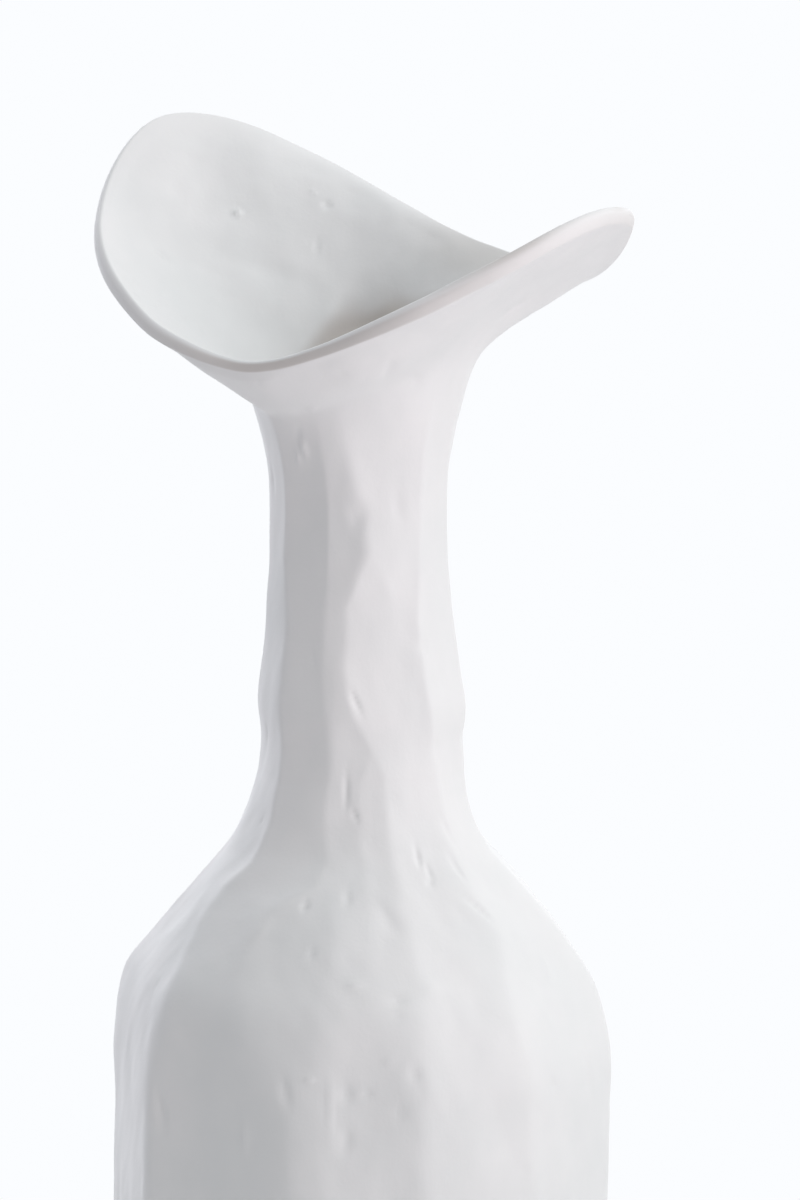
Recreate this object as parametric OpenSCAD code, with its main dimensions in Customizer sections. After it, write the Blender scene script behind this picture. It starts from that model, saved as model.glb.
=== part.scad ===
// Hand-built bottle vase: a paddled round body, a drawn-in shoulder, a slim neck and a mouth that flares
// into two wings. The axis of the vase is Z, and the surface it stands on is z = 0. The front is -Y.

/* [Body] */
// Diameter of the body over its ridges
body_d = 144.6; // [110:0.2:190]
// Height of the upright wall above the foot slab
wall_h = 160; // [90:1:260]
// Thickness of the body's wall
wall_t = 6.5; // [4:0.5:9]
// How flat the paddled flats are, from 0, round, to 1, flat
flat_share = 0.6; // [0:0.05:1]

/* [Foot] */
// Thickness of the slab that closes the bottom
slab_t = 8; // [5:0.5:14]
// Rounding of the slab's lower edge
slab_edge_r = 3.5; // [1:0.5:5]
// Thickness of the felt disc
felt_t = 2; // [1:0.5:4]
// Margin between the felt and the flat of the foot
felt_margin = 4; // [2:0.5:15]

/* [Shoulder] */
// Height of the shoulder
shoulder_h = 70; // [45:1:110]
// How far the shoulder and neck wander sideways from the axis
wander = 2; // [0:0.5:4]

/* [Neck] */
// Diameter of the neck at its slimmest, over its ridges
neck_d = 51.8; // [40:0.2:70]
// Height of the neck
neck_h = 98; // [60:1:150]
// How far the neck swells towards its ends
neck_swell = 4; // [1:0.5:7]
// Thickness of the neck's wall
neck_t = 5.5; // [3.5:0.5:8]

/* [Coils] */
// How far a coil stands in from the wall
coil_reach = 3; // [1.5:0.5:5]
// Height of a coil above and below its joint
coil_h = 5; // [3:0.5:9]

/* [Mouth] */
// Height of the collar, at the axis
collar_h = 9.7; // [6:0.1:16]
// How far the collar widens up to the crease
collar_flare = 1.6; // [1:0.2:5]
// How much higher than at the axis the crease sits on the right
seat_tilt = 2.1; // [0:0.1:4]
// Longest reach of a wing from the axis
wing_reach = 81; // [60:1:110]
// Rise of the highest wing above the crease
wing_rise = 73; // [45:1:110]
// Thickness of the rim
rim_t = 5.2; // [3:0.1:7]
// Rounding of the rim's edge
rim_crown = 0.8; // [0.2:0.1:1.4]

/* [Hidden] */

clay_color = "#ece9e5";
felt_color = "#8d8b88";

// Directions of the upright ridges between the flats, in degrees from +X, seen from above
ridge_turns = [22, 60, 96, 132, 168, 212, 252, 262, 284, 313, 348];
facet_step = 7.2;
full_turn = 360;

// Outline of the shoulder in even steps of its height, as shares of its reach beyond the neck
shoulder_shares = [1, 0.958, 0.857, 0.748, 0.635, 0.503, 0.355, 0.2, 0.1, 0.04, 0];
// Outline of the neck in even steps of its height, as shares of its swell
neck_shares = [1, 0.78, 0.9, 0.55, 0.27, 0.12, 0, 0, 0.03, 0.22, 0.65];
// Sideways place of the shoulder and the neck in even steps of their heights, as shares of wander
shoulder_wander_shares = [0, -0.4, -0.7, -0.55, -0.35, -0.25, -0.25, -0.35, -0.45, -0.4, -0.2];
neck_wander_shares = [-0.2, 0.05, 0.15, 0.05, 0.1, 0, -0.05, -0.1, -0.15, -0.3, -0.5];
// Reach and rise of the rim in even steps of a turn, as shares of wing_reach and wing_rise
rim_start_turn = 15;
reach_shares = [0.815, 0.6, 0.63, 0.84, 1.01, 0.955, 0.77, 0.61, 0.63, 0.835, 1, 0.97];
rise_shares = [0.445, 0.53, 0.65, 0.865, 1, 0.625, 0.295, 0.155, 0.21, 0.415, 0.695, 0.69];
// Thickness of the rim in the same steps, as shares of rim_t
rim_t_shares = [0.85, 0.8, 0.75, 0.7, 0.72, 0.82, 0.78, 0.6, 0.7, 0.95, 1, 0.92];
// Where the curve from crease to rim bends, as shares of its run and of its rise: its middle over a whole
// turn, and how much more it is on the right
bend_run_shares = [0.14, 0.6];
bend_rise_shares = [0.32, 0.65];
bend_run_more_shares = [-0.04, -0.02];
bend_rise_more_shares = [0.12, 0.12];
// How far the wall curls outwards below the rim, in the same steps as the rim, and what a full curl adds to
// the bends
curl_shares = [0.05, 0.3, 0.7, 0.55, 0.12, 0, 0, 0, 0, 0, 0, 0];
curl_run_shares = [0, -0.35];
curl_rise_shares = [0, 0.28];

felt_top_z = felt_t;
slab_top_z = felt_top_z + slab_t;
wall_top_z = slab_top_z + wall_h;
shoulder_top_z = wall_top_z + shoulder_h;
neck_top_z = shoulder_top_z + neck_h;
crease_z = neck_top_z + collar_h;

body_r = body_d / 2;
neck_r = neck_d / 2;
neck_foot_r = neck_r + neck_swell * neck_shares[0];
neck_head_r = neck_r + neck_swell * neck_shares[len(neck_shares) - 1];
crease_r = neck_head_r + collar_flare;
tilt_share = seat_tilt / crease_r;

shoulder_rows = 11;
neck_rows = 12;
lip_rows = 11;
edge_rows = 4;
coil_rows = 4;
slope_probe = shoulder_h / 100;
turn_probe = 0.5;
climb_probe_share = 0.05;
blend_share = 0.3;

// Cubic through four even points, at share s of the step from b to c
function cubic(a, b, c, d, s) =
    b + 0.5 * s * (c - a + s * (2 * a - 5 * b + 4 * c - d + s * (3 * (b - c) + d - a)));

// Smooth value at share t of a table that starts and stops
function along(table, t) =
    let (last = len(table) - 1, x = min(max(t, 0), 1) * last, i = min(floor(x), last - 1))
    cubic(
        i > 0 ? table[i - 1] : 2 * table[0] - table[1],
        table[i],
        table[i + 1],
        i + 2 > last ? 2 * table[last] - table[last - 1] : table[i + 2],
        x - i
    );

// Smooth value at a direction of a table that goes once round
function around(table, turn) =
    let (n = len(table), x = ((turn - rim_start_turn) / full_turn + 1) * n, i = floor(x))
    cubic(table[(i - 1) % n], table[i % n], table[(i + 1) % n], table[(i + 2) % n], x - i);

// Directions of the corners of every section: each ridge, and even steps between two ridges
function next_ridge(i) = i + 1 < len(ridge_turns) ? ridge_turns[i + 1] : ridge_turns[0] + full_turn;
turns = [
    for (i = [0:len(ridge_turns) - 1])
        let (wide = next_ridge(i) - ridge_turns[i], steps = ceil(wide / facet_step))
        for (k = [0:steps - 1]) ridge_turns[i] + wide * k / steps
];

// Radius of the flat-sided section at a direction, as a share of its radius at a ridge
function flat_factor(turn) =
    let (
        t = turn < ridge_turns[0] ? turn + full_turn : turn,
        i = max([for (k = [0:len(ridge_turns) - 1]) if (ridge_turns[k] <= t) k]),
        half = (next_ridge(i) - ridge_turns[i]) / 2,
        chord = cos(half) / cos(t - ridge_turns[i] - half)
    )
    1 - flat_share * (1 - chord);

// Ridge radius, sideways lean and wall thickness of the body, shoulder and neck at a height
function ridge_r(z) =
    z <= wall_top_z ? body_r
    : z <= shoulder_top_z ? neck_foot_r
        + (body_r - neck_foot_r) * along(shoulder_shares, (z - wall_top_z) / shoulder_h)
    : z <= neck_top_z ? neck_r + neck_swell * along(neck_shares, (z - shoulder_top_z) / neck_h)
    : neck_head_r + collar_flare * (z - neck_top_z) / collar_h;

function side_x(z) =
    wander * (z <= shoulder_top_z
        ? along(shoulder_wander_shares, (z - wall_top_z) / shoulder_h)
        : along(neck_wander_shares, (z - shoulder_top_z) / neck_h));

function level_t(z) =
    wall_t + (neck_t - wall_t) * min(max((z - wall_top_z) / shoulder_h, 0), 1);

function slope(z) =
    z > neck_top_z ? 0
    : (ridge_r(min(z + slope_probe, neck_top_z)) - ridge_r(z - slope_probe)) / (2 * slope_probe);

// A point of the wall at a height and direction, at a depth share from 0, outside, to 1, inside
function wall_point(z, turn, depth) =
    let (r = ridge_r(z) * flat_factor(turn) - depth * level_t(z) * sqrt(1 + pow(slope(z), 2)))
    [r * cos(turn) + side_x(z), r * sin(turn), z];

// The middle of the mouth's wall, at share u of the way from the crease to the rim
function mouth_mid(u, turn) =
    let (
        r0 = crease_r - neck_t / 2,
        z0 = crease_z + tilt_share * r0 * cos(turn),
        run = wing_reach * around(reach_shares, turn) - r0,
        rise = crease_z + wing_rise * around(rise_shares, turn) - z0,
        curl = around(curl_shares, turn),
        run_bends = bend_run_shares + bend_run_more_shares * cos(turn) + curl_run_shares * curl,
        rise_bends = bend_rise_shares + bend_rise_more_shares * cos(turn) + curl_rise_shares * curl,
        w = [3 * u * pow(1 - u, 2), 3 * u * u * (1 - u)],
        r = r0 + run * (w * run_bends + pow(u, 3)),
        z = z0 + rise * (w * rise_bends + pow(u, 3))
    )
    [r * cos(turn) + side_x(neck_top_z) * (1 - u), r * sin(turn), z];

function unit(v) = v / norm(v);

// Outward direction across the mouth's wall: in the plane of the seat at the crease, and square to the
// surface above it
function mouth_out(u, turn) =
    let (
        level = [cos(turn), sin(turn), tilt_share * cos(turn)],
        side = mouth_mid(u, turn + turn_probe) - mouth_mid(u, turn - turn_probe),
        climb = mouth_mid(min(u + climb_probe_share, 1), turn)
            - mouth_mid(max(u - climb_probe_share, 0), turn),
        square_to = unit(cross(side, climb)),
        s = min(u / blend_share, 1),
        w = s * s * (3 - 2 * s)
    )
    w == 0 ? level : unit((1 - w) * unit(level) + w * square_to);

// A point of the mouth's wall, at a side from -1, inside, to 1, outside
function mouth_point(u, turn, side) =
    let (t = neck_t + (rim_t * around(rim_t_shares, turn) - neck_t) * u)
    mouth_mid(u, turn) + side * t / 2 * mouth_out(u, turn);

// The crown of the rim, which stands beyond the two edges
function rim_crown_point(turn) =
    mouth_mid(1, turn) + rim_crown * unit(mouth_mid(1, turn) - mouth_mid(1 - climb_probe_share, turn));

// Even heights from one level to another
function levels(low, high, steps) = [for (k = [0:steps]) low + (high - low) * k / steps];

// A hollow piece: one closed outline in each direction, joined all the way round. An outline runs up the
// outside and down the inside, and rising is the number of its points on the outside.
module ring_piece(outlines, rising) {
    n = len(outlines);
    m = len(outlines[0]);
    faces = [
        for (i = [0:n - 1])
            for (j = [0:m - 1])
                let (
                    a = i * m + j,
                    b = i * m + (j + 1) % m,
                    c = (i + 1) % n * m + (j + 1) % m,
                    d = (i + 1) % n * m + j
                )
                for (f = j < rising ? [[a, b, c], [a, c, d]] : [[a, b, d], [b, c, d]]) f
    ];
    polyhedron(points = [for (o = outlines) for (p = o) p], faces = faces, convexity = 6);
}

// A solid piece: level sections from the bottom up, closed by a flat face at each end
module stacked_piece(sections) {
    n = len(sections[0]);
    top = len(sections) - 1;
    sides = [
        for (k = [0:top - 1])
            for (i = [0:n - 1])
                let (
                    a = k * n + i,
                    b = (k + 1) * n + i,
                    c = (k + 1) * n + (i + 1) % n,
                    d = k * n + (i + 1) % n
                )
                for (f = [[a, b, c], [a, c, d]]) f
    ];
    ends = [[for (i = [0:n - 1]) i], [for (i = [0:n - 1]) top * n + n - 1 - i]];
    polyhedron(points = [for (s = sections) for (p = s) p], faces = concat(sides, ends), convexity = 4);
}

// A tube of wall between two heights, with its own steps outside and inside
module wall_piece(outer_z, inner_z) {
    ring_piece(
        [
            for (t = turns)
                concat(
                    [for (z = outer_z) wall_point(z, t, 0)],
                    [for (k = [len(inner_z) - 1:-1:0]) wall_point(inner_z[k], t, 1)]
                )
        ],
        len(outer_z)
    );
}

// A coil pressed over the inside of a joint: its back lies on the wall, and its face bulges inwards
module joint_coil(joint_z) {
    ring_piece(
        [
            for (t = turns)
                let (
                    low = wall_point(joint_z - coil_h, t, 1),
                    mid = wall_point(joint_z, t, 1),
                    high = wall_point(joint_z + coil_h, t, 1),
                    inward = [-cos(t), -sin(t), 0]
                )
                concat(
                    [low, mid, high],
                    [
                        for (k = [1:coil_rows])
                            let (s = 1 - k / (coil_rows + 1))
                            (s > 0.5 ? mid + (high - mid) * (2 * s - 1) : low + (mid - low) * 2 * s)
                            + inward * coil_reach * sin(180 * s)
                    ]
                )
        ],
        3
    );
}

foot_flat_r = body_r * min([for (t = turns) flat_factor(t)]) - slab_edge_r;

module felt_pad() {
    color(felt_color) cylinder(h = felt_t, r = foot_flat_r - felt_margin, $fn = 96);
}

module foot_slab() {
    sections = concat(
        [
            for (k = [0:edge_rows])
                let (a = 90 * k / edge_rows, inset = slab_edge_r * (1 - sin(a)))
                [
                    for (t = turns)
                        let (r = body_r * flat_factor(t) - inset)
                        [r * cos(t), r * sin(t), felt_top_z + slab_edge_r * (1 - cos(a))]
                ]
        ],
        [[for (t = turns) wall_point(slab_top_z, t, 0)]]
    );
    color(clay_color) stacked_piece(sections);
}

// The coil in the corner of slab and wall, smoothed to a hollow fillet
module base_coil() {
    color(clay_color)
        ring_piece(
            [
                for (t = turns)
                    let (
                        low = wall_point(slab_top_z, t, 1),
                        high = wall_point(slab_top_z + coil_h, t, 1),
                        inward = [-cos(t), -sin(t), 0]
                    )
                    concat(
                        [low, high],
                        [
                            for (k = [1:coil_rows])
                                let (a = 90 * k / coil_rows)
                                low + inward * coil_h * (1 - cos(a)) + [0, 0, coil_h * (1 - sin(a))]
                        ]
                    )
            ],
            2
        );
}

module body_wall() {
    z = [slab_top_z, slab_top_z + coil_h, (slab_top_z + wall_top_z) / 2, wall_top_z - coil_h, wall_top_z];
    color(clay_color) wall_piece(z, z);
}

module shoulder_coil() {
    color(clay_color) joint_coil(wall_top_z);
}

module shoulder() {
    z = concat(
        [wall_top_z],
        levels(wall_top_z + coil_h, shoulder_top_z - coil_h, shoulder_rows - 2),
        [shoulder_top_z]
    );
    color(clay_color) wall_piece(z, z);
}

module neck_coil() {
    color(clay_color) joint_coil(shoulder_top_z);
}

module neck() {
    z = concat([shoulder_top_z], levels(shoulder_top_z + coil_h, neck_top_z, neck_rows - 1));
    color(clay_color) wall_piece(z, z);
}

module collar() {
    color(clay_color)
        ring_piece(
            [
                for (t = turns)
                    let (
                        low_out = wall_point(neck_top_z, t, 0),
                        low_in = wall_point(neck_top_z, t, 1),
                        high_out = mouth_point(0, t, 1),
                        high_in = mouth_point(0, t, -1)
                    )
                    [low_out, (low_out + high_out) / 2, high_out, high_in, (low_in + high_in) / 2, low_in]
            ],
            3
        );
}

module lip() {
    color(clay_color)
        ring_piece(
            [
                for (t = turns)
                    concat(
                        [for (k = [0:lip_rows]) mouth_point(k / lip_rows, t, 1)],
                        [rim_crown_point(t)],
                        [for (k = [lip_rows:-1:0]) mouth_point(k / lip_rows, t, -1)]
                    )
            ],
            lip_rows + 1
        );
}

felt_pad();
foot_slab();
base_coil();
body_wall();
shoulder_coil();
shoulder();
neck_coil();
neck();
collar();
lip();
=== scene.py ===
# Looks of the hand-built bottle vase. Every piece of clay gets its paddled, pressed and smoothed surface,
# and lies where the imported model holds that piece. Lengths are in millimetres and directions in degrees
# from +X, seen from above, until a mesh is made. The photograph is taken from the front, -Y.
import math

import bpy
import numpy as np
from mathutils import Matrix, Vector


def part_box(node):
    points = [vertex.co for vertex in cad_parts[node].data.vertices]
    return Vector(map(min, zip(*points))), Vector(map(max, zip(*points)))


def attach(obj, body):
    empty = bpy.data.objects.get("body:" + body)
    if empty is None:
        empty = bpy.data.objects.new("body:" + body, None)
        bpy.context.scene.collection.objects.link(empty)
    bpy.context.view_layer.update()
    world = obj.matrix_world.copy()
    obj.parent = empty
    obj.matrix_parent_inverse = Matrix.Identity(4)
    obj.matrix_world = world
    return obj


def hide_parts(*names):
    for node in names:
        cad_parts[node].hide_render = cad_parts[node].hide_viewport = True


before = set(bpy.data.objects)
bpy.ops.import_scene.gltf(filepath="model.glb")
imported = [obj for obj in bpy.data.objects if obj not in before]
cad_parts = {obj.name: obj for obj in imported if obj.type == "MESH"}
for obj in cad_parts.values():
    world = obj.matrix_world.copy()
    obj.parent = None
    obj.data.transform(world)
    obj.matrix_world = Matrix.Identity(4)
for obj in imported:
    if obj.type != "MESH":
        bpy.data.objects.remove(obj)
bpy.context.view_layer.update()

MM = 0.001
FULL_TURN = 360.0


def top_of(node):
    """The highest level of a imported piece."""
    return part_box(node)[1].z / MM


# Levels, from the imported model
FELT_TOP = top_of("felt_pad")
SLAB_TOP = top_of("foot_slab")
WALL_TOP = top_of("body_wall")
SHOULDER_TOP = top_of("shoulder")
NECK_TOP = top_of("neck")

# Main sizes of the vase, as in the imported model: walls, collar and its slanting seat, sideways wander, slab,
# coils, and the mouth with the share of its height that the rim's edge takes
BODY_R = 72.3
WALL_T = 6.5
NECK_R = 25.9
NECK_SWELL = 4.0
NECK_T = 5.5
COLLAR_H = 9.7
COLLAR_FLARE = 1.6
SEAT_TILT = 2.1
WANDER = 2.0
SLAB_EDGE_R = 3.5
COIL_REACH = 3.0
COIL_H = 5.0
WING_REACH = 81.0
WING_RISE = 73.0
RIM_T = 5.2
RIM_EDGE_SHARE = 0.045
CREASE_Z = NECK_TOP + COLLAR_H

# Outlines in even steps from bottom to top, as shares of the shoulder's reach and of the neck's swell, and
# how far the sections wander to the right, as shares of the wander
SHOULDER_SHARES = [1, 0.958, 0.857, 0.748, 0.635, 0.503, 0.355, 0.2, 0.1, 0.04, 0]
NECK_SHARES = [1, 0.78, 0.9, 0.55, 0.27, 0.12, 0, 0, 0.03, 0.22, 0.65]
SHOULDER_WANDER_SHARES = [0, -0.4, -0.7, -0.55, -0.35, -0.25, -0.25, -0.35, -0.45, -0.4, -0.2]
NECK_WANDER_SHARES = [-0.2, 0.05, 0.15, 0.05, 0.1, 0, -0.05, -0.1, -0.15, -0.3, -0.5]

# The rim in even steps of a turn: its reach, its rise and its thickness
RIM_START_TURN = 15.0
REACH_SHARES = [0.815, 0.6, 0.63, 0.84, 1.01, 0.955, 0.77, 0.61, 0.63, 0.835, 1, 0.97]
RISE_SHARES = [0.445, 0.53, 0.65, 0.865, 1, 0.625, 0.295, 0.155, 0.21, 0.415, 0.695, 0.69]
RIM_T_SHARES = [0.85, 0.8, 0.75, 0.7, 0.8, 0.95, 0.85, 0.62, 0.66, 0.92, 0.95, 0.88]
# How the mouth's wall bends on its way to the rim, low and high: shares of its run and of its rise, and what
# they gain towards +X
BEND_RUN_SHARES = [0.14, 0.6]
BEND_RISE_SHARES = [0.32, 0.65]
BEND_RUN_MORE_SHARES = [-0.04, -0.02]
BEND_RISE_MORE_SHARES = [0.12, 0.12]
# How far the wall curls outwards below the rim, in the same steps, and what a full curl does to the bend
CURL_SHARES = [0.05, 0.3, 0.7, 0.55, 0.12, 0, 0, 0, 0, 0, 0, 0]
CURL_RUN = -0.35
CURL_RISE = 0.28
# The share of the way to the rim at which the wall's thickness is measured square to its middle
BLEND_SHARE = 0.8
# How far the crease dips below its even line: direction and depth
CREASE_DIPS = [
    (150, 0), (172, -2.5), (186, -3.8), (202, -2.2), (212, 1.5), (219, 4.0), (237, 4.6), (249, 3.0),
    (262, 1.5), (290, 0),
]
CREASE_DIP_SOFTNESS = 3.0

# How the hand-cut rim leaves its even line: direction and lift
RIM_LIFTS = [
    (45, 0), (60, 0.4), (78, 0.4), (92, -0.4), (103, 0.1), (112, 1.2), (121, 1.2), (130, 0.4), (142, 0),
    (255, 0), (270, -0.5), (290, -1.0), (303, -2.3), (312, -1.4), (320, -0.3), (330, 0),
]
RIM_LIFT_SOFTNESS = 4.0
# The rim's edge from its outer to its inner corner, wiped with a wet thumb: share of half the thickness, and
# height at full thickness
RIM_PROFILE = [
    (1, -2.1), (0.97, -1.75), (0.88, -1.4), (0.74, -1.0), (0.58, -0.6), (0.4, -0.2), (0.22, 0.12),
    (0.05, 0.35), (-0.12, 0.48), (-0.3, 0.55), (-0.5, 0.54), (-0.7, 0.42), (-0.85, 0.2), (-0.95, -0.2),
    (-1, -0.8),
]

# The ridges between the paddled flats. Those in front are followed up the vase, as height and direction, and
# those behind wander a little round one direction each.
FRONT_RIDGES = [
    [
        (10, 215), (160, 215), (170, 217), (180, 219), (187, 220), (199, 216), (206, 213), (212, 215),
        (218, 221), (230, 223), (236, 222), (265, 221), (285, 220), (292, 218), (303, 214), (320, 215),
        (338, 219),
    ],
    [
        (10, 255), (130, 255), (157, 254), (170, 244), (182, 240), (200, 238), (205, 239), (209, 243),
        (214, 254), (220, 257), (230, 253), (245, 253), (257, 252), (265, 250), (275, 248), (320, 250),
        (338, 249),
    ],
    [
        (10, 262), (180, 262), (200, 263), (210, 262), (220, 260), (225, 258), (235, 254), (245, 255),
        (260, 256), (290, 257), (298, 266), (305, 273), (313, 271), (320, 268), (335, 260), (338, 258),
    ],
    [
        (10, 284), (160, 284), (172, 277), (185, 274), (215, 273), (235, 271), (241, 271), (246, 275),
        (250, 276), (260, 265), (272, 260), (290, 261), (298, 269), (305, 276), (313, 274), (320, 271),
        (330, 266), (338, 262),
    ],
    [
        (10, 284), (160, 284), (185, 286), (235, 286), (243, 284), (250, 277), (260, 266), (272, 261),
        (290, 262), (298, 270), (305, 277), (313, 275), (320, 272), (330, 267), (338, 263),
    ],
    [
        (10, 313), (160, 312), (180, 309), (200, 316), (214, 314), (228, 320), (240, 318), (260, 312),
        (285, 309), (298, 312), (338, 314),
    ],
]
BACK_RIDGES = [22, 60, 96, 132, 168, 348]
RIDGE_WANDER = 3.0
RIDGE_WANDER_SIZE = 60.0
# How flat the flats are, from a round to a straight side, and how soft the ridges are outside and inside
FLAT_SHARE = 0.8
RIDGE_SOFTNESS = 1.5
INSIDE_SOFTNESS = 8.0

# How finely the surfaces are divided
COLUMNS = 400
TURNS = np.arange(COLUMNS) * FULL_TURN / COLUMNS
OUTER_STEP = 1.3
INNER_STEP = 2.5
COLLAR_ROWS = 7
LIP_ROWS = 78
FOOT_EDGE_ROWS = 8
COIL_ROWS = 9
TABLE_CORNERS = 160
FELT_EDGE_ROWS = 9
SLAB_FACE_SHARES = np.linspace(0.15, 0.95, 6)
FELT_FACE_SHARES = np.linspace(0.2, 0.96, 5)
# Over how many rows joints and crease are rounded, and how often
JOINT_SOFT_ROWS = 7
CREASE_SOFT_ROWS = 14
SOFT_PASSES = 80

# Unevenness of the clay: how deep it is, how wide, and how much longer it is upwards than across. Each kind
# is a sum of waves, whose lengths spread round the width, and has a seed of its own.
WAVE_COUNT = 28
WAVE_LENGTHS = (0.7, 1.5)
OUTSIDE_WAVES = [(0.42, 46, 1.6), (0.12, 17, 1.8), (0.03, 7, 1.6)]
OUTSIDE_SEED = 20
INSIDE_WAVES = [(0.4, 44, 0.8), (0.09, 16, 1.2), (0.035, 7, 1.2)]
INSIDE_SEED = 40
RIM_WAVE = 0.15
RIM_WAVE_SIZE = 34.0
RIM_SEED = 5
RIM_CALM_ROWS = 9

# Marks pressed into the outside: height, direction, depth, half width, half height and lean. A negative
# depth stands out.
OUTER_MARKS = [
    (218, 186, -1.6, 13.0, 22.0, 0),
    (336, 238, -0.5, 1.2, 2.6, 0),
    (331, 231, -0.35, 0.9, 1.8, 0),
    (263, 267, 0.55, 1.0, 3.2, 24),
    (252, 270, 0.5, 5.0, 7.0, 30),
    (239, 264, 0.45, 0.9, 4.2, 0),
    (232, 269, 0.4, 0.9, 1.8, 30),
    (226, 319, 0.4, 1.2, 3.6, 10),
    (221, 298, 0.6, 0.9, 3.2, -6),
    (217, 301, 0.5, 0.9, 2.6, 0),
    (217, 314, 0.5, 1.1, 4.2, 6),
    (214, 299, 0.35, 1.0, 1.6, 0),
    (211, 266, 0.35, 1.2, 2.6, 0),
    (209, 252, 0.5, 1.0, 1.6, 0),
    (206, 313, 0.7, 1.1, 5.0, 38),
    (197, 257, 0.4, 1.1, 2.0, 0),
    (189, 270, -0.35, 2.2, 1.6, 0),
    (188, 290, -0.45, 3.0, 2.6, 0),
    (186, 281, 0.4, 2.4, 1.6, 0),
    (174, 226, 0.35, 3.0, 1.2, 10),
    (166, 283, 0.5, 1.6, 2.2, 0),
    (165, 259, -0.4, 1.1, 1.1, 0),
    (161, 254, 0.6, 1.3, 3.8, 12),
    (161, 267, 0.5, 1.8, 2.6, 0),
    (161, 272, 0.35, 1.3, 1.3, 0),
    (157, 264, -0.35, 0.8, 8.0, 0),
    (156, 279, 0.35, 2.2, 3.0, 0),
    (152, 219, 0.8, 1.4, 5.5, 8),
    (148, 267, 0.5, 1.5, 3.4, -8),
    (146, 243, -0.45, 0.8, 5.0, 0),
]
# Marks on the inside of the mouth, in the same way but for the first value: the share of the way from the
# crease to the rim
MOUTH_MARKS = [
    (0.70, 128, 0.35, 3.0, 3.0, 0),
    (0.70, 128, -1.0, 1.1, 1.1, 0),
    (0.78, 101, 0.7, 0.9, 1.4, -20),
    (0.82, 104, -0.3, 0.8, 0.8, 0),
    (0.75, 156, 0.5, 0.8, 3.2, 0),
    (0.58, 106, 0.4, 0.7, 2.4, 0),
    (0.50, 127, 0.6, 4.2, 15.0, 47),
    (0.80, 110, 1.1, 10.0, 22.0, 10),
    (0.76, 152, 0.7, 9.0, 18.0, 0),
    (0.27, 90, 2.6, 8.0, 9.0, 0),
    (0.32, 104, -1.2, 3.6, 8.0, -15),
    (0.42, 72, 1.2, 9.0, 9.0, 30),
    (0.48, 165, 0.5, 7.0, 4.0, 30),
    (0.30, 141, 0.4, 6.0, 6.0, 0),
]
# How far round its middle a mark reaches, as a multiple of its half width or height, whichever is greater
MARK_REACH = 3
# Small marks scattered over the outside: the range of half widths, the depths of a mark of middling width,
# the range of half heights as shares of the half width, and the greatest lean
SMALL_MARKS = 90
SMALL_MARK_SEED = 11
SMALL_MARK_SIZES = (0.8, 2.2)
SMALL_MARK_DEPTHS = [-0.2, 0.25, 0.35]
SMALL_MARK_MIDDLE_SIZE = 1.6
SMALL_MARK_TALLNESS = (1, 3)
SMALL_MARK_LEAN = 30

# How far the painted shade in the throat, a browner clay colour, comes up the mouth before the white, in the
# same steps as the rim, how soft and uneven its edge is, and where it fades out down the neck
THROAT_SHARES = [0.4, 0.52, 0.45, 0.27, 0.1, 0.1, 0.1, 0.1, 0.1, 0.1, 0.12, 0.24]
THROAT_EDGE_SHARE = 0.07
THROAT_WAVE_SHARE = 0.03
THROAT_WAVE_SIZE = 14.0
THROAT_SEED = 70
THROAT_LOW_Z = 290
THROAT_FADE = 40
# How much painted shade darkens the inside just below the rim, in the same steps, and over which share of the
# mouth
INNER_RIM_SHADE_SHARES = [0.3, 0.42, 0.06, 0, 0, 0, 0, 0, 0, 0, 0, 0.05]
INNER_RIM_SHADE_FROM_SHARE = 0.55
INNER_RIM_SHADE_RUN_SHARE = 0.35
# How much painted shade darkens the outer half of the rim's wiped edge, in the same steps, and how far it
# fades in from its corners
RIM_SHADE_SHARES = [0.1, 0, 0, 0, 0, 0, 0.15, 0.7, 0.75, 0.5, 0.18, 0.3]
RIM_SHADE_FADE_ROWS = 3
# How much painted shade darkens the rim along its inner corner, as a dark line: direction and share. The
# line's middle lies some rows outside the corner, and it reaches some rows to both sides, where it fades.
CORNER_SHADES = [
    (285, 0), (295, 0.3), (302, 0.7), (307, 0.65), (312, 0.3), (318, 0.12), (328, 0.05), (332, 0.4),
    (336, 0.05), (345, 0),
]
CORNER_SHADE_SOFTNESS = 1.5
CORNER_SHADE_SHIFT_ROWS = 2
CORNER_SHADE_REACH_ROWS = 6.5
CORNER_SHADE_FADE_ROWS = 5

# How soft the crease between neck and mouth is, in the same steps as the rim
CREASE_SOFTNESS_SHARES = [1, 1, 0.8, 0.8, 0.8, 0.55, 0.4, 0.55, 0.9, 1, 1, 1]

# Finger dents of the coils, and the felt's edge
FINGERS = 17
FINGER_SHARE = 0.3
FELT_EDGE_R = 0.4
FELT_FRAY = 0.25
FELT_FRAY_SIZE = 2.5
FELT_SEED = 60

# White clays: their pale colour, their deep colour and their roughness
FOOT_CLAY = ((0.80, 0.785, 0.765), (0.765, 0.75, 0.73), 0.62)
INSIDE_CLAY = ((0.83, 0.82, 0.805), (0.80, 0.79, 0.775), 0.55)
WALL_CLAY = ((0.86, 0.855, 0.855), (0.82, 0.825, 0.825), 0.45)
# Painted shade, shown as browner clay: the layer that says where it is painted, its colours, and how much
# rougher it is there
PAINTED_SHADE_LAYER = "painted_shade"
PAINTED_SHADE_PALE = (0.65, 0.615, 0.59)
PAINTED_SHADE_DEEP = (0.59, 0.55, 0.52)
PAINTED_SHADE_DRYNESS = 0.25
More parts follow.
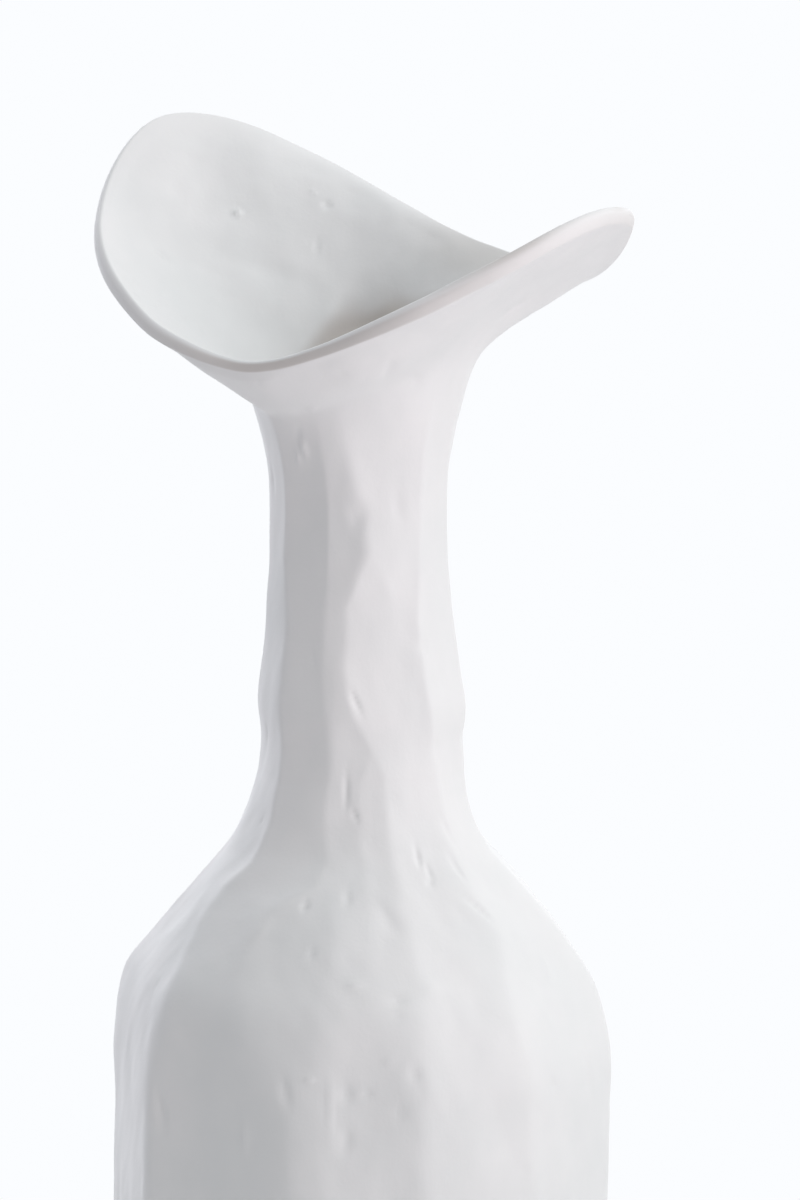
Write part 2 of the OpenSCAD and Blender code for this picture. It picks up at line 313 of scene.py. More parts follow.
# Noises are scale, detail and roughness. A range is where a noise passes from one end of its effect to the
# other. A bump is a strength and a height in millimetres.
CLOUDS = (24, 4, 0.55)
CLOUD_RANGE = (0.36, 0.62)
STREAK_STRETCH = (1, 1, 0.35)
SHEEN_STREAKS = (60, 3, 0.5)
SHEEN_RANGE = (0.3, 0.7)
SHEEN_SPREAD = 0.07
STREAKS = (170, 3, 0.5)
STREAK_BUMP = (0.18, 0.5)
GRAIN = (900, 2, 0.5)
GRAIN_BUMP = (0.25, 0.12)

# The felt's colours and fibres
FELT_PALE = (0.30, 0.29, 0.28)
FELT_DEEP = (0.20, 0.19, 0.185)
FIBRES = (1400, 6, 0.7)
FIBRE_RANGE = (0.3, 0.7)
FIBRE_BUMP = (0.8, 0.4)
FELT_TUFTS = (300, 2, 0.5)
FELT_TUFT_RANGE = (0.3, 0.7)
FELT_DRYNESS = (0.86, 0.98)
FELT_SHEEN = 0.25
FELT_SHEEN_ROUGHNESS = 0.6

# The room. The camera's aim and distance are in metres.
AIM = Vector((0.01128, 0, 0.2888))
SENSOR_MM = 36
PHOTO_PIXELS_HIGH = 1200
MM_A_PIXEL = 0.282
VIEW_DISTANCE = 2.0
VIEW_TURN = -90
VIEW_HEIGHT = 7
# The table's reach, the slope of its edge, its thickness and its paint
TABLE_R = 500
TABLE_EDGE = 4
TABLE_T = 12
TABLE_CLOUDS = (9, 4, 0.5)
TABLE_CLOUD_RANGE = (0.35, 0.65)
TABLE_DEEP = (0.70, 0.70, 0.70)
TABLE_PALE = (0.74, 0.74, 0.74)
TABLE_ROUGHNESS = 0.7
# The walls as the camera sees them, the even light that they give, and their glows: direction, height,
# narrowness and colour
WALL_SEEN = (0.965, 0.98, 1.0)
WALL_LIGHT = (0.13, 0.148, 0.150)
WALL_GLOWS = [
    (0, 12, 3.0, (0.61, 0.62, 0.61)),
    (90, 12, 3.0, (1.15, 1.15, 1.17)),
    (135, 12, 3.0, (0.77, 0.75, 0.83)),
    (0, 90, 2.0, (0.43, 0.44, 0.44)),
    (-20, 50, 4.0, (0.90, 0.905, 0.92)),
    (-60, -40, 2.0, (1.46, 1.30, 1.36)),
    (-35, -32, 8.0, (0.27, 0.27, 0.28)),
]


def cubic(a, b, c, d, s):
    """Cubic through four even points, at share s of the step from b to c."""
    return b + 0.5 * s * (c - a + s * (2 * a - 5 * b + 4 * c - d + s * (3 * (b - c) + d - a)))


def along(table, t):
    """Smooth value at share t of a table that starts and stops."""
    table = np.concatenate([[2 * table[0] - table[1]], table, [2 * table[-1] - table[-2]]])
    x = np.clip(t, 0, 1) * (len(table) - 3)
    i = np.minimum(x.astype(int), len(table) - 4)
    return cubic(table[i], table[i + 1], table[i + 2], table[i + 3], x - i)


def around(table, turn):
    """Smooth value at a direction of a table that goes once round."""
    table = np.array(table, float)
    n = len(table)
    x = (turn - RIM_START_TURN) / FULL_TURN * n
    i = np.floor(x).astype(int)
    return cubic(table[(i - 1) % n], table[i % n], table[(i + 1) % n], table[(i + 2) % n], x - i)


def ease(x):
    """0 below 0, 1 above 1, and smooth between."""
    x = np.clip(x, 0, 1)
    return x * x * (3 - 2 * x)


def unit(vectors):
    """Vectors at a length of 1."""
    return vectors / np.linalg.norm(vectors, axis=-1, keepdims=True)


def waves(points, size, seed, stretch=1.0):
    """Smooth unevenness with a spread of 1, of the given size, and longer upwards by stretch."""
    draw = np.random.default_rng(seed)
    ways = unit(draw.normal(size=(WAVE_COUNT, 3))) / [1, 1, stretch]
    lengths = size * draw.uniform(*WAVE_LENGTHS, WAVE_COUNT)
    starts = draw.uniform(0, 2 * math.pi, WAVE_COUNT)
    total = np.zeros(points.shape[:-1])
    for way, length, start in zip(ways, lengths, starts):
        total += np.sin(points @ way * (2 * math.pi / length) + start)
    return total / math.sqrt(WAVE_COUNT / 2)


def polar(r, z):
    """Points at a radius in every direction of TURNS."""
    turn = np.radians(TURNS)
    return np.stack(np.broadcast_arrays(r * np.cos(turn), r * np.sin(turn), z), -1)


NECK_FOOT_R = NECK_R + NECK_SWELL * NECK_SHARES[0]
NECK_HEAD_R = NECK_R + NECK_SWELL * NECK_SHARES[-1]
CREASE_R = NECK_HEAD_R + COLLAR_FLARE
TILT_SHARE = SEAT_TILT / CREASE_R


def ridge_r(z):
    """Radius over the ridges at each height."""
    shoulder = NECK_FOOT_R + (BODY_R - NECK_FOOT_R) * along(SHOULDER_SHARES, shoulder_share(z))
    neck = NECK_R + NECK_SWELL * along(NECK_SHARES, neck_share(z))
    return np.select([z <= WALL_TOP, z <= SHOULDER_TOP], [BODY_R, shoulder], neck)


def shoulder_share(z):
    """How far up the shoulder each height is."""
    return (z - WALL_TOP) / (SHOULDER_TOP - WALL_TOP)


def neck_share(z):
    """How far up the neck each height is."""
    return (z - SHOULDER_TOP) / (NECK_TOP - SHOULDER_TOP)


def side_x(z):
    """How far each section stands to the right of the axis."""
    shoulder = along(SHOULDER_WANDER_SHARES, shoulder_share(z))
    return WANDER * np.where(z <= SHOULDER_TOP, shoulder, along(NECK_WANDER_SHARES, neck_share(z)))


def slant(z):
    """Length of the wall's outline for each millimetre of height."""
    return np.hypot(1, np.gradient(ridge_r(z), z))


def ridge_turns(z):
    """Directions of all ridges at each height, in order."""
    line = np.stack([np.zeros(len(z)), np.zeros(len(z)), z], -1)
    ridges = [np.interp(z, *zip(*ridge)) for ridge in FRONT_RIDGES]
    ridges += [turn + RIDGE_WANDER * waves(line, RIDGE_WANDER_SIZE, turn) for turn in BACK_RIDGES]
    return np.sort(ridges, axis=0)


def rounded(values, softness):
    """Values at every direction, smoothed round the axis by a softness in degrees."""
    weight = np.exp(-0.5 * (np.arange(COLUMNS // 2 + 1) * math.radians(softness)) ** 2)
    return np.fft.irfft(np.fft.rfft(values) * weight, COLUMNS)


def flat_section(z, softness):
    """Radius of the flat-sided section at each height and direction, as a share of its ridge radius."""
    section = []
    for edges in ridge_turns(z).T:
        edges = np.append(edges, edges[0] + FULL_TURN)
        turn = np.where(TURNS < edges[0], TURNS + FULL_TURN, TURNS)
        i = np.searchsorted(edges, turn, side="right") - 1
        half = (edges[i + 1] - edges[i]) / 2
        chord = np.cos(np.radians(half)) / np.cos(np.radians(turn - edges[i] - half))
        section.append(1 - FLAT_SHARE * (1 - chord))
    return rounded(section, softness)


def mouth_middle(u):
    """The middle of the mouth's wall, at shares u of the way from the crease to the rim."""
    cos = np.cos(np.radians(TURNS))
    r0 = CREASE_R - NECK_T / 2
    dip = rounded(np.interp(TURNS, *zip(*CREASE_DIPS)), CREASE_DIP_SOFTNESS)
    z0 = CREASE_Z + TILT_SHARE * r0 * cos - dip
    sway = RIM_WAVE * waves(polar(WING_REACH, 0.0), RIM_WAVE_SIZE, RIM_SEED)
    sway += rounded(np.interp(TURNS, *zip(*RIM_LIFTS)), RIM_LIFT_SOFTNESS)
    run = WING_REACH * around(REACH_SHARES, TURNS) - r0
    rise = CREASE_Z + WING_RISE * around(RISE_SHARES, TURNS) + sway - z0
    u = u[:, None]
    early = 3 * u * (1 - u) ** 2
    late = 3 * u * u * (1 - u)
    curl = around(CURL_SHARES, TURNS)

    def bent(shares, more, curled):
        low = shares[0] + more[0] * cos
        high = shares[1] + more[1] * cos + curled * curl
        return early * low + late * high + u ** 3

    r = r0 + run * bent(BEND_RUN_SHARES, BEND_RUN_MORE_SHARES, CURL_RUN)
    points = polar(r, z0 + rise * bent(BEND_RISE_SHARES, BEND_RISE_MORE_SHARES, CURL_RISE))
    points[..., 0] += side_x(np.array([NECK_TOP])) * (1 - u)
    return points


def mouth_out(u, middle):
    """Outward direction across the mouth's wall: level at the crease, square to the wall above it."""
    turn = np.radians(TURNS)
    level = unit(np.stack([np.cos(turn), np.sin(turn), TILT_SHARE * np.cos(turn)], -1))
    side = np.roll(middle, -1, axis=1) - np.roll(middle, 1, axis=1)
    square = unit(np.cross(side, np.gradient(middle, u, axis=0)))
    w = ease(u / BLEND_SHARE)[:, None, None]
    return unit((1 - w) * level + w * square)


def rim_rows(middle, out, climb, thick):
    """Rows over the edge of the rim, from its outer corner to its inner corner."""
    places = [(thick / 2 * share, thick / RIM_T * up) for share, up in RIM_PROFILE]
    return np.array([middle + across[:, None] * out + up[:, None] * climb for across, up in places])


def foot_inset(z):
    """How far the rounded lower edge of the slab lies inside its side."""
    h = np.clip((z - FELT_TOP) / SLAB_EDGE_R, 0, 1)
    return SLAB_EDGE_R * (1 - np.sqrt(1 - (1 - h) ** 2))


def wall_outside(z):
    """Rows up the outside of the wall at each height."""
    r = ridge_r(z)[:, None] * flat_section(z, RIDGE_SOFTNESS) - foot_inset(z)[:, None]
    return polar(r, z[:, None]) + side_x(z)[:, None, None] * [1, 0, 0]


def wall_inside(z):
    """Rows up the inside of the wall at each height."""
    thick = WALL_T + (NECK_T - WALL_T) * np.clip(shoulder_share(z), 0, 1)
    r = ridge_r(z)[:, None] * flat_section(z, INSIDE_SOFTNESS) - (thick * slant(z))[:, None]
    return polar(r, z[:, None]) + side_x(z)[:, None, None] * [1, 0, 0]


def heights(levels, step):
    """Heights from the first level to the last that meet every level between, about a step apart."""
    z = [levels[:1]]
    for low, high in zip(levels, levels[1:]):
        z.append(np.linspace(low, high, max(round((high - low) / step), 1) + 1)[1:])
    return np.concatenate(z)


def between(low, high):
    """Rows of the collar from one row to another, without those two."""
    shares = np.linspace(0, 1, COLLAR_ROWS + 2)[1:-1, None, None]
    return low + (high - low) * shares


def row_normals(rows):
    """Outward direction at every point of a run of rows that goes up the outside."""
    side = np.roll(rows, -1, axis=1) - np.roll(rows, 1, axis=1)
    steps = unit(np.diff(rows, axis=0))
    climb = np.concatenate([steps[:1], steps[1:] + steps[:-1], steps[-1:]])
    return unit(np.cross(side, climb))


# The skin of the whole vase as one run of rows: up the outside, over the rim and down the inside
edge_turn = np.radians(np.linspace(0, 90, FOOT_EDGE_ROWS + 1))
foot_z = FELT_TOP + SLAB_EDGE_R * (1 - np.cos(edge_turn))
outer_levels = [foot_z[-1], SLAB_TOP, WALL_TOP, SHOULDER_TOP, NECK_TOP]
outer_z = np.append(foot_z[:-1], heights(outer_levels, OUTER_STEP))
coil_levels = [
    SLAB_TOP, SLAB_TOP + COIL_H, WALL_TOP - COIL_H, WALL_TOP, WALL_TOP + COIL_H,
    SHOULDER_TOP - COIL_H, SHOULDER_TOP, SHOULDER_TOP + COIL_H, NECK_TOP,
]
inner_z = heights(coil_levels, INNER_STEP)
lip_u = np.append(np.linspace(0, 1 - RIM_EDGE_SHARE, LIP_ROWS), 1)
middle = mouth_middle(lip_u)
out = mouth_out(lip_u, middle)
lip_thick = NECK_T + (RIM_T * around(RIM_T_SHARES, TURNS) - NECK_T) * lip_u[:, None]
lip_outside = (middle + out * lip_thick[..., None] / 2)[:-1]
lip_inside = (middle - out * lip_thick[..., None] / 2)[:-1]
outside = wall_outside(outer_z)
inside = wall_inside(inner_z)
stretches = [
    outside,
    between(outside[-1], lip_outside[0]),
    lip_outside,
    rim_rows(middle[-1], out[-1], unit(middle[-1] - middle[-2]), lip_thick[-1]),
    lip_inside[::-1],
    between(lip_inside[0], inside[-1]),
    inside[::-1],
]
skin = np.concatenate(stretches)
starts = np.cumsum([0] + [len(s) for s in stretches])
NECK_TOP_OUT = starts[1] - 1
CREASE_OUT = starts[2]
RIM_OUT = starts[3]
RIM_IN = starts[4] - 1
CREASE_IN = starts[5] - 1
NECK_TOP_IN = starts[6]


def row_out(z):
    """The row of the outside at a height."""
    return int(np.argmin(abs(outer_z - z)))


def row_in(z):
    """The row of the inside at a height."""
    return len(skin) - 1 - int(np.argmin(abs(inner_z - z)))


def soften(rows, centre, reach, strength):
    """Rounds the outline of every direction within a reach of rows, by a strength for each direction."""
    near = np.exp(-(((np.arange(len(rows)) - centre) / reach) ** 2))
    weight = (near[:, None] * strength)[1:-1, :, None]
    for _ in range(SOFT_PASSES):
        rows[1:-1] += weight * (rows[2:] + rows[:-2] - 2 * rows[1:-1]) / 2


def press(rows, normals, row, column, depth, across, tall, lean):
    """How far an oval mark at one point pushes each point of the skin outwards."""
    way = rows - rows[row, column]
    right = unit(rows[row, (column + 1) % COLUMNS] - rows[row, column - 1])
    up = np.cross(normals[row, column], right)
    a = math.radians(lean)
    x = way @ (right * math.cos(a) + up * math.sin(a)) / across
    y = way @ (up * math.cos(a) - right * math.sin(a)) / tall
    near = np.linalg.norm(way, axis=-1) < MARK_REACH * max(across, tall)
    facing = (normals @ normals[row, column]) > 0
    return np.where(near & facing, -depth * np.exp(-x * x - y * y), 0)


def column_at(turn):
    """The column at a direction."""
    return round(turn / FULL_TURN * COLUMNS) % COLUMNS


def small_marks():
    """Scattered finger and tool marks: row, column, depth, half width, half height and lean."""
    draw = np.random.default_rng(SMALL_MARK_SEED)
    first, last = row_out(SLAB_TOP), RIM_OUT
    for _ in range(SMALL_MARKS):
        size = draw.uniform(*SMALL_MARK_SIZES)
        depth = draw.choice(SMALL_MARK_DEPTHS) * size / SMALL_MARK_MIDDLE_SIZE
        yield (
            int(draw.integers(first, last)), int(draw.integers(COLUMNS)), depth, size,
            size * draw.uniform(*SMALL_MARK_TALLNESS), draw.uniform(-SMALL_MARK_LEAN, SMALL_MARK_LEAN),
        )


everywhere = np.ones(COLUMNS)
soften(skin, row_out(WALL_TOP), JOINT_SOFT_ROWS, everywhere)
soften(skin, CREASE_OUT, CREASE_SOFT_ROWS, around(CREASE_SOFTNESS_SHARES, TURNS))
soften(skin, CREASE_IN, JOINT_SOFT_ROWS, everywhere)

# The clay's unevenness dies away towards the cut rim and towards the face that the vase stands on
normals = row_normals(skin)
row = np.arange(len(skin))
from_rim = np.maximum(RIM_OUT - row, row - RIM_IN)
calm = ease(from_rim / RIM_CALM_ROWS)
calm[:len(outer_z)] *= ease((outer_z - FELT_TOP) / (SLAB_TOP - FELT_TOP))
is_outside = (row <= (RIM_OUT + RIM_IN) / 2)[:, None]
push = np.zeros(skin.shape[:2])
for seed, (depth, size, stretch) in enumerate(OUTSIDE_WAVES):
    push += is_outside * depth * waves(skin, size, OUTSIDE_SEED + seed, stretch)
for seed, (depth, size, stretch) in enumerate(INSIDE_WAVES):
    push += ~is_outside * depth * waves(skin, size, INSIDE_SEED + seed, stretch)
for height, turn, *mark in OUTER_MARKS:
    push += press(skin, normals, row_out(height), column_at(turn), *mark)
for share, turn, *mark in MOUTH_MARKS:
    push += press(skin, normals, CREASE_IN - round(share * (LIP_ROWS - 1)), column_at(turn), *mark)
for mark in small_marks():
    push += press(skin, normals, *mark)
skin += normals * (push * calm[:, None])[..., None]
normals = row_normals(skin)

# Painted shade, shown as browner clay, from 0 to 1: in the throat, on the inside just below the rim, on the
# outer half of the rim up to its highest row, and along its inner corner
mouth_share = (CREASE_IN - row)[:, None] / (LIP_ROWS - 1)
throat_edge = around(THROAT_SHARES, TURNS) + THROAT_WAVE_SHARE * waves(skin, THROAT_WAVE_SIZE, THROAT_SEED)
# Painted shade in the throat: browner and darker deep in the mouth, where shade falls
throat = ~is_outside * ease(0.5 + (throat_edge - mouth_share) / (2 * THROAT_EDGE_SHARE))
throat = throat * ease((skin[..., 2] - THROAT_LOW_Z) / THROAT_FADE)
# Painted shade on the inside just below the rim
inner_rim_shade = around(INNER_RIM_SHADE_SHARES, TURNS) * ease((mouth_share - INNER_RIM_SHADE_FROM_SHARE) / INNER_RIM_SHADE_RUN_SHARE)
inner_rim_shade = inner_rim_shade * (row >= RIM_IN)[:, None]
rim_top = RIM_OUT + np.argmax(np.array(RIM_PROFILE)[:, 1])
# Painted shade on the face of the rim, from its outer corner to its highest row
rim_face_shade = ease((row - RIM_OUT + 1) / RIM_SHADE_FADE_ROWS) * ease((rim_top + 1 - row) / RIM_SHADE_FADE_ROWS)
rim_face_shade = rim_face_shade[:, None] * around(RIM_SHADE_SHARES, TURNS)
# Painted shade as a dark line along the rim's inner corner
from_line = abs(row - RIM_IN + CORNER_SHADE_SHIFT_ROWS)
corner = ease((CORNER_SHADE_REACH_ROWS - from_line) / CORNER_SHADE_FADE_ROWS)
corner = corner[:, None] * rounded(np.interp(TURNS, *zip(*CORNER_SHADES)), CORNER_SHADE_SOFTNESS)
painted_shade = np.maximum.reduce([throat, inner_rim_shade, rim_face_shade, corner])


def new_piece(name, node, slot, finish, points, faces, corner_normals):
    """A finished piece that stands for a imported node, made from points in millimetres."""
    mesh = bpy.data.meshes.new(name)
    mesh.from_pydata((points * MM).tolist(), [], faces)
    mesh.polygons.foreach_set("use_smooth", np.ones(len(mesh.polygons), bool))
    mesh.normals_split_custom_set(corner_normals)
    mesh.materials.append(finish)
    piece = bpy.data.objects.new(name, mesh)
    bpy.context.scene.collection.objects.link(piece)
    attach(piece, "root")
    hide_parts(node)
    return piece


def runs_to_faces(runs, closed):
    """Points, faces and corner normals of runs of rows: smooth along a run, flat from one to the next."""
    points = np.concatenate([rows for rows, _ in runs])
    normals = np.concatenate([n for _, n in runs])
    ends = np.cumsum([len(rows) for rows, _ in runs]) - 1
    count = len(points)
    low = np.arange(count if closed else count - 1)[:, None]
    high = (low + 1) % count
    here = np.arange(COLUMNS)
    there = (here + 1) % COLUMNS
    corners = [(low, here), (low, there), (high, there), (high, here)]
    faces = np.stack([r * COLUMNS + c for r, c in corners], -1)
    corner_normals = np.stack([normals[r, c] for r, c in corners], 2)
    for end in ends[ends < len(low)]:
        p = [points[r[end], c] for r, c in corners]
        corner_normals[end] = unit(np.cross(p[2] - p[0], p[3] - p[1]))[:, None]
    return points.reshape(-1, 3), faces.reshape(-1, 4).tolist(), corner_normals.reshape(-1, 3).tolist()


def ring_piece(name, node, slot, finish, runs):
    """A hollow piece whose runs of rows close on themselves."""
    return new_piece(name, node, slot, finish, *runs_to_faces(runs, True))


def disc_piece(name, node, slot, finish, runs):
    """A solid piece whose first and last rows close round a middle point each."""
    points, faces, corner_normals = runs_to_faces(runs, False)
    low = points[:COLUMNS].mean(axis=0)
    high = points[-COLUMNS:].mean(axis=0)
    low_point, high_point = len(points), len(points) + 1
    last_row = len(points) - COLUMNS
    for c in range(COLUMNS):
        there = (c + 1) % COLUMNS
        faces.append([there, c, low_point])
        corner_normals += [(0, 0, -1)] * 3
        faces.append([last_row + c, last_row + there, high_point])
        corner_normals += [(0, 0, 1)] * 3
    return new_piece(name, node, slot, finish, np.concatenate([points, [low, high]]), faces, corner_normals)


def skin_run(first, last):
    """A run of the skin's rows with their normals."""
    return skin[first:last + 1], normals[first:last + 1]


def skin_piece(name, node, slot, finish, ends):
    """A piece of the wall from runs of the skin's rows, each from a first to a last row."""
    piece = ring_piece(name, node, slot, finish, [skin_run(first, last) for first, last in ends])
    # The layer of painted shade, carried onto the piece's points
    shares = np.concatenate([painted_shade[first:last + 1] for first, last in ends])
    layer = piece.data.attributes.new(PAINTED_SHADE_LAYER, "FLOAT", "POINT")
    layer.data.foreach_set("value", shares.ravel())
    return piece


def wall_piece(name, node, finish, low_z, high_z):
    """A tube of the vase's wall between two levels."""
    ends = [(row_out(low_z), row_out(high_z)), (row_in(high_z), row_in(low_z))]
    return skin_piece(name, node, "clay_body", finish, ends)


def coil_piece(name, node, finish, back, face):
    """A pressed coil: its back lies on the wall, and its face is the rows from the top to the bottom."""
    whole = np.concatenate([back[-1:], face, back[:1]])
    runs = [(back, -row_normals(back)), (face, row_normals(whole)[1:-1])]
    return ring_piece(name, node, "clay_inside", finish, runs)


def joint_coil(name, node, finish, joint_z):
    """The coil over the inside of a joint, with the dents of the fingers that pressed it."""
    back = skin[row_in(joint_z + COIL_H):row_in(joint_z - COIL_H) + 1][::-1]
    fingers = 1 - FINGER_SHARE * (0.5 + 0.5 * np.cos(np.radians(FINGERS * TURNS + joint_z)))
    face = []
    for s in np.linspace(1, 0, COIL_ROWS + 2)[1:-1]:
        place = s * (len(back) - 1)
        k = min(int(place), len(back) - 2)
        on_back = back[k] + (back[k + 1] - back[k]) * (place - k)
        face.append(on_back - polar(COIL_REACH * math.sin(math.pi * s) * fingers, 0.0))
    return coil_piece(name, node, finish, back, np.array(face))


def base_coil(name, node, finish):
    """The coil in the corner of slab and wall, smoothed to a hollow fillet."""
    back = skin[row_in(SLAB_TOP + COIL_H):row_in(SLAB_TOP) + 1][::-1]
    face = []
    for a in np.radians(np.linspace(0, 90, COIL_ROWS + 1))[1:]:
        up = np.array([0, 0, COIL_H * (1 - math.sin(a))])
        face.append(back[0] - polar(COIL_H * (1 - math.cos(a)), 0.0) + up)
    return coil_piece(name, node, finish, back, np.array(face))


def disc_rows(edge, shares, normal):
    """Flat rows inside an edge row, at shares of its reach, all facing one way."""
    middle = edge.mean(axis=0)
    rows = np.array([middle + (edge - middle) * share for share in shares])
    return rows, np.broadcast_to(np.array(normal, float), rows.shape)


def closed_disc(name, node, slot, finish, side, side_normals, shares):
    """A disc from the rows up its side, with flat faces below and above."""
    below = disc_rows(side[0], shares, (0, 0, -1))
    above = disc_rows(side[-1], shares[::-1], (0, 0, 1))
    return disc_piece(name, node, slot, finish, [below, (side, side_normals), above])


def foot_slab(name, node, finish):
    """The slab under the wall, with the rounded lower edge of the skin."""
    side, side_normals = skin_run(0, row_out(SLAB_TOP))
    return closed_disc(name, node, "clay_foot", finish, side, side_normals, SLAB_FACE_SHARES)


def felt_disc(name, node, finish):
    """The felt under the foot, with a soft, slightly frayed edge."""
    low, high = (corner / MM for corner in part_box(node))
    turn = np.radians(np.linspace(-90, 90, FELT_EDGE_ROWS))
    edge = FELT_EDGE_R * (1 - np.cos(turn))
    side = np.array([
        polar(high.x - e - FELT_FRAY * (1 + waves(polar(high.x, z), FELT_FRAY_SIZE, FELT_SEED)) / 2, z)
        for e, z in zip(edge, low.z + (high.z - low.z) * (0.5 + 0.5 * np.sin(turn)))
    ])
    return closed_disc(name, node, "felt", finish, side, row_normals(side), FELT_FACE_SHARES)


# Places of the colour mixing node's inputs and output, some of which share a name
MIX_SHARE = 0
MIX_FIRST = 6
MIX_SECOND = 7
MIX_COLOR = 2


def add_node(tree, kind, inputs=(), **settings):
    """A shader node with its settings, and with inputs set or linked, each as (input, value or output)."""
    node = tree.nodes.new(kind)
    for key, value in settings.items():
        setattr(node, key, value)
    for place, value in inputs:
        if isinstance(value, bpy.types.NodeSocket):
            tree.links.new(value, node.inputs[place])
        else:
            node.inputs[place].default_value = value
    return node


def new_material(name):
    """A material with its node tree and its main shader."""
    material = bpy.data.materials.new(name)
    material.use_nodes = True
    tree = material.node_tree
    return material, tree, tree.nodes["Principled BSDF"]


def noise(tree, place, scale, detail, roughness):
    """Noise at a place, from 0 to 1."""
    inputs = [("Vector", place), ("Scale", scale), ("Detail", detail), ("Roughness", roughness)]
    return add_node(tree, "ShaderNodeTexNoise", inputs).outputs["Fac"]


def ramp(tree, factor, ends, colors):
    """A colour that passes from one to another over a range of a factor."""
    node = add_node(tree, "ShaderNodeValToRGB", [("Fac", factor)])
    for element, place, color in zip(node.color_ramp.elements, ends, colors):
        element.position = place
        element.color = (*color, 1)
    return node.outputs["Color"]


def spread(tree, factor, ends, values):
    """A value that passes from one to another over a range of a factor."""
    inputs = [("From Min", ends[0]), ("From Max", ends[1]), ("To Min", values[0]), ("To Max", values[1])]
    return add_node(tree, "ShaderNodeMapRange", [("Value", factor), *inputs]).outputs["Result"]


def mixed(tree, share, first, second):
    """The first colour where the share is 0, and the second where it is 1."""
    inputs = [(MIX_SHARE, share), (MIX_FIRST, first), (MIX_SECOND, second)]
    return add_node(tree, "ShaderNodeMix", inputs, data_type="RGBA").outputs[MIX_COLOR]


def bumps(tree, shader, layers):
    """Fine relief from noises, each as (factor, (strength, height in millimetres))."""
    normal = None
    for factor, (strength, height) in layers:
        inputs = [("Height", factor), ("Strength", strength), ("Distance", height * MM)]
        node = add_node(tree, "ShaderNodeBump", inputs)
        if normal:
            tree.links.new(normal, node.inputs["Normal"])
        normal = node.outputs["Normal"]
    tree.links.new(normal, shader.inputs["Normal"])


def clay(name, pale, deep, matt):
    """White fired clay, hand-smoothed: faint clouds of tone, streaks left by a damp finger, and fine grain.
    Where shade is painted it is browner, darker and drier."""
    material, tree, shader = new_material(name)
    place = add_node(tree, "ShaderNodeTexCoord").outputs["Object"]
    stretched = add_node(tree, "ShaderNodeMapping", [("Vector", place), ("Scale", STREAK_STRETCH)])
    streak = stretched.outputs["Vector"]
    clouds = noise(tree, place, *CLOUDS)
    white = ramp(tree, clouds, CLOUD_RANGE, (deep, pale))
    # Painted shade: a darker, browner clay colour, mixed in where the layer of painted shade is high
    brown = ramp(tree, clouds, CLOUD_RANGE, (PAINTED_SHADE_DEEP, PAINTED_SHADE_PALE))
    shade_share = add_node(tree, "ShaderNodeAttribute", attribute_name=PAINTED_SHADE_LAYER).outputs["Fac"]
    tree.links.new(mixed(tree, shade_share, white, brown), shader.inputs["Base Color"])
    shine = noise(tree, streak, *SHEEN_STREAKS)
    dryness = spread(tree, shine, SHEEN_RANGE, (matt - SHEEN_SPREAD, matt + SHEEN_SPREAD))
    inputs = [(0, shade_share), (1, PAINTED_SHADE_DRYNESS), (2, dryness)]
    drier = add_node(tree, "ShaderNodeMath", inputs, operation="MULTIPLY_ADD")
    tree.links.new(drier.outputs["Value"], shader.inputs["Roughness"])
    bumps(tree, shader, [
        (noise(tree, streak, *STREAKS), STREAK_BUMP),
        (noise(tree, place, *GRAIN), GRAIN_BUMP),
    ])
    return material


def felt(name, pale, deep):
    """Pressed wool: matted fibres and a faint mix of tones."""
    material, tree, shader = new_material(name)
    place = add_node(tree, "ShaderNodeTexCoord").outputs["Object"]
    fibres = noise(tree, place, *FIBRES)
    tree.links.new(ramp(tree, fibres, FIBRE_RANGE, (deep, pale)), shader.inputs["Base Color"])
    dryness = spread(tree, noise(tree, place, *FELT_TUFTS), FELT_TUFT_RANGE, FELT_DRYNESS)
    tree.links.new(dryness, shader.inputs["Roughness"])
    shader.inputs["Sheen Weight"].default_value = FELT_SHEEN
    shader.inputs["Sheen Roughness"].default_value = FELT_SHEEN_ROUGHNESS
    bumps(tree, shader, [(fibres, FIBRE_BUMP)])
    return material


clay_foot = clay("clay_foot", *FOOT_CLAY)
clay_inside = clay("clay_inside", *INSIDE_CLAY)
clay_body = clay("clay_body", *WALL_CLAY)
clay_lip = clay("clay_lip", *WALL_CLAY)
wool = felt("felt", FELT_PALE, FELT_DEEP)

felt_disc("felt_disc", "felt_pad", wool)
foot_slab("clay_slab", "foot_slab", clay_foot)
base_coil("clay_base_coil", "base_coil", clay_inside)
wall_piece("clay_body_wall", "body_wall", clay_body, SLAB_TOP, WALL_TOP)
joint_coil("clay_shoulder_coil", "shoulder_coil", clay_inside, WALL_TOP)
wall_piece("clay_shoulder", "shoulder", clay_body, WALL_TOP, SHOULDER_TOP)
joint_coil("clay_neck_coil", "neck_coil", clay_inside, SHOULDER_TOP)
wall_piece("clay_neck", "neck", clay_body, SHOULDER_TOP, NECK_TOP)
collar_ends = [(NECK_TOP_OUT, CREASE_OUT), (CREASE_IN, NECK_TOP_IN)]
skin_piece("clay_collar", "collar", "clay_body", clay_body, collar_ends)
skin_piece("clay_lip", "lip", "clay_lip", clay_lip, [(CREASE_OUT, CREASE_IN)])


